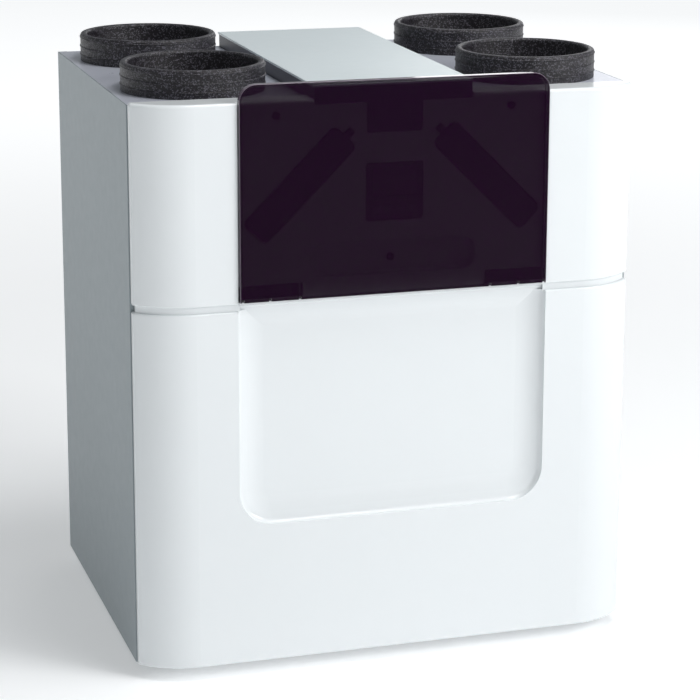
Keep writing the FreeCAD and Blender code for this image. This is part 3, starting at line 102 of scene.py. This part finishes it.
light_panel("key_panel", (2.9, -2.7, 2.6), width=1.7, height=1.7, watts=96)
light_panel("fill_panel", (-1.2, -4.5, 1.6), width=2.2, height=2.2, watts=2)
light_panel("top_panel", (0.5, -0.75, 3.3), width=1.2, height=1.2, watts=38)
light_panel("rear_panel", (3.0, 5.6, 2.2), width=2.0, height=1.6, watts=17)

# %% Sky and floor
SKY_COLOUR = (0.92, 0.97, 1.0, 1)
SKY_STRENGTH = 0.285
FLOOR_HALF = 25

world = bpy.data.worlds.new("studio")
bpy.context.scene.world = world
world.use_nodes = True
sky = world.node_tree.nodes["Background"]
sky.inputs["Color"].default_value = SKY_COLOUR
sky.inputs["Strength"].default_value = SKY_STRENGTH
bpy.context.scene.view_settings.view_transform = "Standard"

floor_mesh = bpy.data.meshes.new("studio_floor")
shape = bmesh.new()
bmesh.ops.create_grid(shape, x_segments=1, y_segments=1, size=FLOOR_HALF)
shape.to_mesh(floor_mesh)
shape.free()
new_object("studio_floor", floor_mesh)
print("floor", len(floor_mesh.polygons), "face")

# %% [markdown]
# Materials are built from nodes. Wrapping a node's output in a small Python class lets the maths
# be written as an expression: each + or * adds a Math node. Every other node comes from one
# method, which sets the node's options first and then its sockets.

# %% Arithmetic on node outputs
class Signal:
    """The output of a node, with arithmetic."""

    def __init__(self, finish, output):
        self.finish = finish
        self.output = output

    def maths(self, operation, *values):
        return self.finish.node("ShaderNodeMath", {"operation": operation}, dict(enumerate(values)))

    def __add__(self, other):
        return self.maths("ADD", self, other)

    def __mul__(self, other):
        return self.maths("MULTIPLY", self, other)

    def __gt__(self, other):
        return self.maths("GREATER_THAN", self, other)

    def __lt__(self, other):
        return self.maths("LESS_THAN", self, other)

    def __abs__(self):
        return self.maths("ABSOLUTE", self)

    __radd__ = __add__
    __rmul__ = __mul__


print("arithmetic on signals: +, *, <, > and abs")

# %% [markdown]
# A finish is one material with its Principled shader. Its place is the Object coordinate, so a pattern
# keeps its size in metres and stays on the piece when the piece turns. Socket names are written with
# an underscore for each space, so that they can be Python arguments.

# %% A finish under construction
def opaque(value):
    """A plain colour with full opacity, or the value as it is."""
    return (*value, 1) if isinstance(value, tuple) and len(value) == 3 else value


class Finish:
    """A material and the shortcuts to build it."""

    def __init__(self, name):
        self.material = bpy.data.materials.new(name)
        self.material.use_nodes = True
        self.tree = self.material.node_tree
        self.shader = self.tree.nodes["Principled BSDF"]
        self.place = self.node("ShaderNodeTexCoord", output="Object")

    def feed(self, socket, value):
        if isinstance(value, Signal):
            self.tree.links.new(value.output, socket)
        else:
            socket.default_value = value

    def node(self, kind, settings=None, inputs=None, output=0):
        """Any node: its settings first, then its sockets, by name or by number."""
        node = self.tree.nodes.new(kind)
        for name, value in (settings or {}).items():
            setattr(node, name, value)
        for name, value in (inputs or {}).items():
            self.feed(node.inputs[name], value)
        return Signal(self, node.outputs[output])

    def noise(self, scale, detail=2, roughness=0.5, place=None):
        return self.node("ShaderNodeTexNoise", {}, {
            "Vector": place or self.place, "Scale": scale, "Detail": detail, "Roughness": roughness})

    def stretched(self, scale):
        return self.node("ShaderNodeMapping", {}, {"Vector": self.place, "Scale": scale})

    def blend(self, factor, first, second):
        """A colour between two. A colour Mix node's factor is socket 0, and its colours 6 and 7."""
        sockets = {0: factor, 6: opaque(first), 7: opaque(second)}
        return self.node("ShaderNodeMix", {"data_type": "RGBA"}, sockets, output=2)

    def bump(self, height, distance, strength):
        return self.node("ShaderNodeBump", {}, {
            "Height": height, "Distance": distance, "Strength": strength})

    def finish(self, **values):
        for name, value in values.items():
            self.feed(self.shader.inputs[name.replace("_", " ")], opaque(value))
        return self.material


def shaded(colour, share):
    """The same colour, darker or lighter."""
    return tuple(channel * share for channel in colour)


def dress(material, *names):
    """Gives a material to CAD nodes by name."""
    for name in names:
        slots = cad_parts[name].data.materials
        slots.clear()
        slots.append(material)
    print(material.name, "on", len(names), "nodes")


# %% [markdown]
# The casing is sheet steel with a thick baked coat. Such a coat is never quite flat: it has a faint
# orange-peel ripple and a tiny mottling in its gloss. Two noises give both, and they are weak, since
# a strong one would look like cast metal.

# %% Coated sheet steel
def coated_steel(name, colour, roughness):
    coat = Finish(name)
    mottle = coat.noise(55, 3)
    peel = coat.noise(900, 2)
    patches = coat.noise(3, 2)
    shade = coat.blend(patches, shaded(colour, 0.96), shaded(colour, 1.04))
    return coat.finish(
        Base_Color=coat.blend(mottle * 0.12, shade, shaded(colour, 0.8)),
        Metallic=0.25,
        Roughness=mottle * 0.12 + (roughness - 0.06),
        Normal=coat.bump(peel, 0.0002, 0.25),
    )


# The casing's coat is grey paint, made darker as painted shade for the sides that face away from the lamps.
shaded_casing_coat = coated_steel("shaded_casing_coat", (0.29, 0.335, 0.355), 0.42)
# The top plate's lighter, bluer copy of the same coat is painted light from above and a painted reflection
# of the pale sky.
lit_top_coat = coated_steel("lit_top_coat", (0.6, 0.62, 0.7), 0.3)
lid_coat = coated_steel("lid_coat", (0.78, 0.85, 0.87), 0.4)
dress(shaded_casing_coat, "side_panel_left", "side_panel_right", "back_panel", "base_plate")
dress(lit_top_coat, "top_plate")
dress(lid_coat, "electronics_lid")

# %% [markdown]
# The front covers are moulded in glossy white plastic. Real gloss mouldings carry a very faint ripple
# from the tool and a clear skin over the colour, so a coat goes over a slightly softer base.

# %% Glossy moulded covers
def glossy_cover():
    cover = Finish("glossy_cover")
    ripple = cover.noise(14, 2)
    film = cover.noise(160, 3)
    return cover.finish(
        Base_Color=cover.blend(ripple * 0.3, (0.80, 0.83, 0.845), (0.83, 0.855, 0.865)),
        Roughness=film * 0.05 + 0.22,
        Normal=cover.bump(ripple, 0.0006, 0.12),
        Coat_Weight=0.35,
        Coat_Roughness=0.08,
    )


dress(glossy_cover(), "upper_front_cover", "lower_front_cover", "grip_cup")

# %% [markdown]
# The duct collars and the body inside are moulded from small foam beads. Each bead is a dome with a
# seam round it, and a few beads catch the light. A Voronoi texture is exactly such a pattern of cells:
# its distance makes the domes, its edge distance makes the seams and its random colour picks the
# bright beads.

# %% Bead foam
SEAM_WIDTH = 0.07  # as a share of a bead


def bead_foam(name, colour, bright, bead, share, roughness):
    """Beads of one size in metres, of which a share can look bright."""
    foam = Finish(name)
    scale = 1 / bead
    cells = {"Vector": foam.place, "Scale": scale}
    dome = foam.node("ShaderNodeTexVoronoi", {"feature": "F1"}, cells, output="Distance")
    pick = foam.node("ShaderNodeTexVoronoi", {"feature": "F1"}, cells, output="Color")
    seam = foam.node("ShaderNodeTexVoronoi", {"feature": "DISTANCE_TO_EDGE"}, cells, output="Distance")
    grain = foam.noise(scale * 2.5, 3)
    chance = foam.node("ShaderNodeSeparateColor", {}, {"Color": pick}, output=0)
    lit = (chance > 1 - share) * grain
    edge = (seam > SEAM_WIDTH) * 0.6 + 0.4
    base = foam.blend(chance * 0.6, shaded(colour, 0.7), colour)
    shade = foam.blend(lit, base, bright)
    return foam.finish(
        Base_Color=foam.blend(edge, shaded(colour, 0.4), shade),
        Roughness=grain * 0.3 + roughness,
        Normal=foam.bump(dome * -1 + grain * 0.35, bead * 0.5, 0.75),
    )


collar_foam = bead_foam("collar_foam", (0.0075, 0.005, 0.0092), (0.2, 0.19, 0.225),
                        bead=0.0016, share=0.27, roughness=0.2)
body_foam = bead_foam("body_foam", (0.52, 0.54, 0.56), (0.75, 0.76, 0.78),
                      bead=0.0035, share=0.3, roughness=0.45)
dress(collar_foam, *(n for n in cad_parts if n.startswith("duct_collar")))
dress(body_foam, "foam_body", "foam_front_panel")

# %% [markdown]
# The visor is clear plastic dyed so dark a purple that little light gets through. A refracting glass
# shader would leave the field behind it black, because light seldom finds its way in. Letting part
# of the surface be see-through keeps the light coming. Wherever the surface turns away from the flat
# faces, along its edges, it gets a glossy coat and a lighter tint, which is a painted highlight.

# %% Tinted visor
FLAT_FACE = 0.93  # a face whose normal points less than this along Y is an edge
FACE_ALPHA, EDGE_ALPHA = 0.73, 0.98


def tinted_visor():
    tint = Finish("tinted_visor")
    haze = tint.noise(30, 2)
    normal = tint.node("ShaderNodeTexCoord", output="Normal")
    facing = tint.node("ShaderNodeSeparateXYZ", {}, {"Vector": normal}, output="Y")
    edge = abs(facing) < FLAT_FACE
    face = tint.blend(haze * 0.3, (0.0098, 0.0003, 0.0110), (0.0118, 0.0005, 0.0132))
    return tint.finish(
        # The lighter tint along the edges is a painted highlight.
        Base_Color=tint.blend(edge * 0.5, face, (0.30, 0.24, 0.305)),
        Roughness=haze * 0.02 + 0.05,
        Alpha=edge * (EDGE_ALPHA - FACE_ALPHA) + FACE_ALPHA,
        Coat_Weight=edge,
        Coat_Roughness=0.08,
        IOR=1.49,
        Specular_IOR_Level=0.06,
    )


dress(tinted_visor(), "visor")

# %% [markdown]
# The remaining plastics are moulded with a fine spark-eroded grain, which a small noise bump gives.
# One function makes them all, and only colour, roughness and grain size differ.

# %% Grained plastics
def grained_plastic(name, colour, roughness=0.5, grain=1400, depth=0.00012):
    plastic = Finish(name)
    pits = plastic.noise(grain, 2, 0.6)
    cloud = plastic.noise(25, 2)
    return plastic.finish(
        Base_Color=plastic.blend(cloud, shaded(colour, 0.9), shaded(colour, 1.1)),
        Roughness=pits * 0.15 + (roughness - 0.07),
        Normal=plastic.bump(pits, depth, 0.6),
    )


dress(grained_plastic("box_plastic", (0.075, 0.078, 0.1), 0.45), "electronics_box")
dress(grained_plastic("cap_plastic", (0.02, 0.02, 0.022)), "filter_cap_left", "filter_cap_right",
      "hinge_block_left", "hinge_block_right", "bypass_drive", "drain_cap", "display_frame")
dress(grained_plastic("gland_plastic", (0.012, 0.012, 0.012)), "cable_glands")
dress(grained_plastic("fan_plastic", (0.025, 0.025, 0.028), 0.4), "fan_housing_left", "fan_housing_right",
      "fan_inlet_left", "fan_inlet_right")
dress(grained_plastic("wheel_plastic", (0.22, 0.23, 0.25), 0.4), "fan_wheel_left", "fan_wheel_right")
dress(grained_plastic("damper_plastic", (0.14, 0.15, 0.16)), "bypass_frame", "bypass_flap")
dress(grained_plastic("tray_plastic", (0.03, 0.03, 0.033)), "condensate_tray", "drain_spigot_left",
      "drain_spigot_right")
dress(grained_plastic("key_plastic", (0.11, 0.115, 0.125), 0.4),
      *(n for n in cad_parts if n.startswith("display_key")))
dress(grained_plastic("terminal_plastic", (0.02, 0.19, 0.07), 0.35), "terminal_block")
rubber = grained_plastic("rubber", (0.01, 0.01, 0.01), 0.7, 900)
dress(rubber, "exchanger_seals", "wall_buffers")

# %% [markdown]
# Zinc plate freezes in crystals, so its gloss changes from patch to patch. Turned steel has fine lines
# round it, and cast aluminium is grainy. Each pattern drives the roughness, where metal shows it.

# %% Metals
def zinc_plate():
    zinc = Finish("zinc_plate")
    crystal = zinc.node("ShaderNodeTexVoronoi", {}, {"Vector": zinc.place, "Scale": 90}, output="Color")
    tone = zinc.node("ShaderNodeSeparateColor", {}, {"Color": crystal}, output=0)
    return zinc.finish(
        Base_Color=zinc.blend(tone, (0.5, 0.52, 0.54), (0.68, 0.69, 0.7)),
        Metallic=1.0, Roughness=tone * 0.22 + 0.28)


def drawn_metal(name, colour, scale, roughness):
    metal = Finish(name)
    lines = metal.noise(1, 3, 0.6, metal.stretched(scale))
    return metal.finish(
        Base_Color=metal.blend(lines, shaded(colour, 0.85), colour),
        Metallic=1.0, Roughness=lines * 0.2 + roughness, Normal=metal.bump(lines, 0.0001, 0.3))


zinc = zinc_plate()
dress(zinc, "wall_bracket", "hook_rail")
dress(drawn_metal("turned_steel", (0.6, 0.61, 0.63), (2500, 60, 2500), 0.2), "hinge_pin_left",
      "hinge_pin_right", "board_posts")
dress(drawn_metal("dark_screw", (0.05, 0.05, 0.055), (2500, 60, 2500), 0.35), "cover_screws")
dress(drawn_metal("frame_metal", (0.72, 0.73, 0.75), (40, 1800, 40), 0.3), "exchanger_frame_front",
      "exchanger_frame_rear")
dress(drawn_metal("cast_metal", (0.55, 0.56, 0.58), (700, 700, 700), 0.4), "fan_motor_left",
      "fan_motor_right")

# %% [markdown]
# Inside are the filters, the exchanger, its pull strap and the control board. The exchanger's plates
# and the strap's threads are both narrow bands, so a Wave texture draws them.

# %% Filters, exchanger, strap and board
def banded(name, dark, light, scale, direction, roughness):
    band = Finish(name)
    lines = band.node("ShaderNodeTexWave", {"bands_direction": direction}, {
        "Vector": band.place, "Scale": scale, "Distortion": 0.0}, output="Fac")
    fluff = band.noise(600, 3)
    return band.finish(
        Base_Color=band.blend(lines, dark, light),
        Roughness=fluff * 0.2 + (roughness - 0.1),
        Normal=band.bump(lines + fluff * 0.3, 0.0006, 0.5),
    )


def control_board():
    board = Finish("control_board")
    tracks = board.node("ShaderNodeTexBrick", {"offset": 0.5}, {
        "Vector": board.place, "Scale": 110, "Color1": (0.01, 0.09, 0.035, 1),
        "Color2": (0.012, 0.12, 0.045, 1), "Mortar": (0.03, 0.2, 0.08, 1)}, output="Color")
    dust = board.noise(300, 2)
    return board.finish(Base_Color=tracks, Roughness=dust * 0.2 + 0.3)


def display_glass():
    glass = Finish("display_glass")
    smear = glass.noise(40, 3)
    return glass.finish(Base_Color=(0.012, 0.014, 0.02), Roughness=smear * 0.08 + 0.05,
                        Coat_Weight=0.5, Coat_Roughness=0.03)


fleece = banded("filter_fleece", (0.55, 0.55, 0.5), (0.78, 0.78, 0.74), 26, "Y", 0.9)
plates = banded("exchanger_plates", (0.45, 0.47, 0.5), (0.75, 0.77, 0.8), 160, "Y", 0.4)
weave = banded("strap_weave", (0.01, 0.01, 0.012), (0.04, 0.04, 0.045), 500, "DIAGONAL", 0.8)
dress(fleece, "filter_left", "filter_right")
dress(plates, "heat_exchanger_core")
dress(weave, "exchanger_strap")
dress(control_board(), "circuit_board")
dress(display_glass(), "display_window")

# %% [markdown]
# A soft black strip lies between each front cover and the casing. Its black is painted shade: it stands
# in for the shadow in the gap and shows as a thin dark line along the corner. It fills most of the gap
# between the casing's front edge and the covers' back edges. A flat grid is inset to make a frame, the
# middle is deleted and the rest is given its thickness.

# %% Black strips of painted shade in the cover gaps
STRIP_THICK = 0.0017
STRIP_WIDE = 0.003
STRIP_INSET = 0.0026  # the strip's outer edge behind the covers' outer edge
END_INSET = 0.002  # above the lower edge of each cover
SEAM_CLEAR = 0.0115  # below the upper cover, where the seam opens to the side
TOP_CLEAR = 0.001  # below the side panels' upper edge
UPRIGHT = Matrix.Rotation(math.radians(90), 3, "X")

lower_cover, upper_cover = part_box("lower_front_cover"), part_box("upper_front_cover")
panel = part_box("side_panel_left")
gap_middle = (lower_cover[1][1] + panel[0][1]) / 2


def keep_piece(shape, name, material):
    """Turns a bmesh into a finished piece that rides on the casing."""
    bmesh.ops.recalc_face_normals(shape, faces=shape.faces[:])
    mesh = bpy.data.meshes.new(name)
    shape.to_mesh(mesh)
    shape.free()
    mesh.materials.append(material)
    piece = new_object(name, mesh)
    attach(piece, "casing")
    print(name, "has", len(mesh.polygons), "faces")


def new_verts(result):
    """The vertices among what an operator made."""
    return [item for item in result["geom"] if isinstance(item, bmesh.types.BMVert)]


def shade_strip(name, low, high):
    half = lower_cover[1][0] - STRIP_INSET
    shape = bmesh.new()
    bmesh.ops.create_grid(shape, x_segments=1, y_segments=1, size=1)
    bmesh.ops.scale(shape, verts=shape.verts, vec=(half, (high - low) / 2, 1))
    bmesh.ops.rotate(shape, verts=shape.verts, matrix=UPRIGHT)
    bmesh.ops.translate(shape, verts=shape.verts, vec=(0, gap_middle - STRIP_THICK / 2, (high + low) / 2))
    inner = shape.faces[:]
    bmesh.ops.inset_region(
        shape, faces=inner, thickness=STRIP_WIDE, use_boundary=True, use_even_offset=True)
    bmesh.ops.delete(shape, geom=inner, context="FACES")
    wall = bmesh.ops.extrude_face_region(shape, geom=shape.faces[:])
    bmesh.ops.translate(shape, verts=new_verts(wall), vec=(0, STRIP_THICK, 0))
    keep_piece(shape, name, rubber)


# The black strips are painted shade for the gaps beside the covers.
shade_strip("sealing_strip_low", lower_cover[0][2] + END_INSET, upper_cover[0][2] - SEAM_CLEAR)
shade_strip("sealing_strip_high", upper_cover[0][2] + END_INSET, panel[1][2] - TOP_CLEAR)

# %% [markdown]
# Screws hold the back panel to the side panels' folded edges. Such a head is a low dome with a round
# dent for the driver. A short cylinder gets its dome from one bevel round its rim, and its dent from
# an inset of the top. One head is made, and duplicated to the other places.

# %% Back panel screws
HEAD_RADIUS = 0.0042
HEAD_HIGH = 0.0018
DOME_SHARE = 0.8  # of the head's height
DENT_RIM = HEAD_RADIUS * 0.25
DENT_DEEP = HEAD_HIGH * 0.3
SIDE_INSET = 0.008
LEVELS = (0.05, 0.28, 0.52, 0.95)  # shares of the back panel's height


def screw_head(shape):
    """One head round the origin, with its top towards +Y."""
    bmesh.ops.create_cone(
        shape, cap_ends=True, segments=24, radius1=HEAD_RADIUS, radius2=HEAD_RADIUS, depth=HEAD_HIGH)
    rim = [edge for edge in shape.edges if all(vert.co.z > 0 for vert in edge.verts)]
    bmesh.ops.bevel(
        shape, geom=rim, offset=HEAD_HIGH * DOME_SHARE, segments=4, profile=0.5, affect="EDGES", material=-1)
    top = [face for face in shape.faces if face.normal.z > 0.99]
    bmesh.ops.inset_region(shape, faces=top, thickness=DENT_RIM, depth=-DENT_DEEP)
    bmesh.ops.rotate(shape, verts=shape.verts, matrix=UPRIGHT.transposed())


back_low, back_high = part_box("back_panel")
head_level = panel[1][1] + HEAD_HIGH / 2
places = [
    (side * (back_high[0] - SIDE_INSET), head_level, back_low[2] + share * (back_high[2] - back_low[2]))
    for side in (-1, 1) for share in LEVELS]
heads = bmesh.new()
screw_head(heads)
pattern = heads.verts[:] + heads.edges[:] + heads.faces[:]
first_verts = heads.verts[:]
for place in places[1:]:
    copy = bmesh.ops.duplicate(heads, geom=pattern)
    bmesh.ops.translate(heads, verts=new_verts(copy), vec=place)
bmesh.ops.translate(heads, verts=first_verts, vec=places[0])
keep_piece(heads, "back_panel_screws", zinc)

# %% [markdown]
# The floor is plain and pale. Its faint grain keeps it from looking like an empty picture. The lamps
# light it only near the unit, so it glows a little more the further away it is.

# %% Studio floor finish
GLOW_START, GLOW_END = 0.6, 5.0  # metres from the unit's middle
GLOW_NEAR, GLOW_FAR = (0.45, 0.45, 0.45), (1.0, 1.0, 1.0)
GLOW_STRENGTH = 0.66

pale = Finish("pale_floor")
grain = pale.noise(4, 3)
away = pale.node("ShaderNodeVectorMath", {"operation": "LENGTH"}, {0: pale.place}, output="Value")
far = pale.node("ShaderNodeMapRange", {"interpolation_type": "SMOOTHSTEP"}, {
    "Value": away, "From Min": GLOW_START, "From Max": GLOW_END})
floor_mesh.materials.append(pale.finish(
    Base_Color=pale.blend(grain, (0.88, 0.89, 0.9), (0.9, 0.91, 0.92)),
    Roughness=grain * 0.1 + 0.75,
    Emission_Color=pale.blend(far, GLOW_NEAR, GLOW_FAR),
    Emission_Strength=GLOW_STRENGTH,
))
print("floor glows from", GLOW_START, "to", GLOW_END, "metres")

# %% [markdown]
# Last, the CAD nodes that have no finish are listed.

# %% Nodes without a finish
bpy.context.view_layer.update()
bare = [n for n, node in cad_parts.items() if not node.data.materials[0].use_nodes]
print("nodes without a finish:", bare)
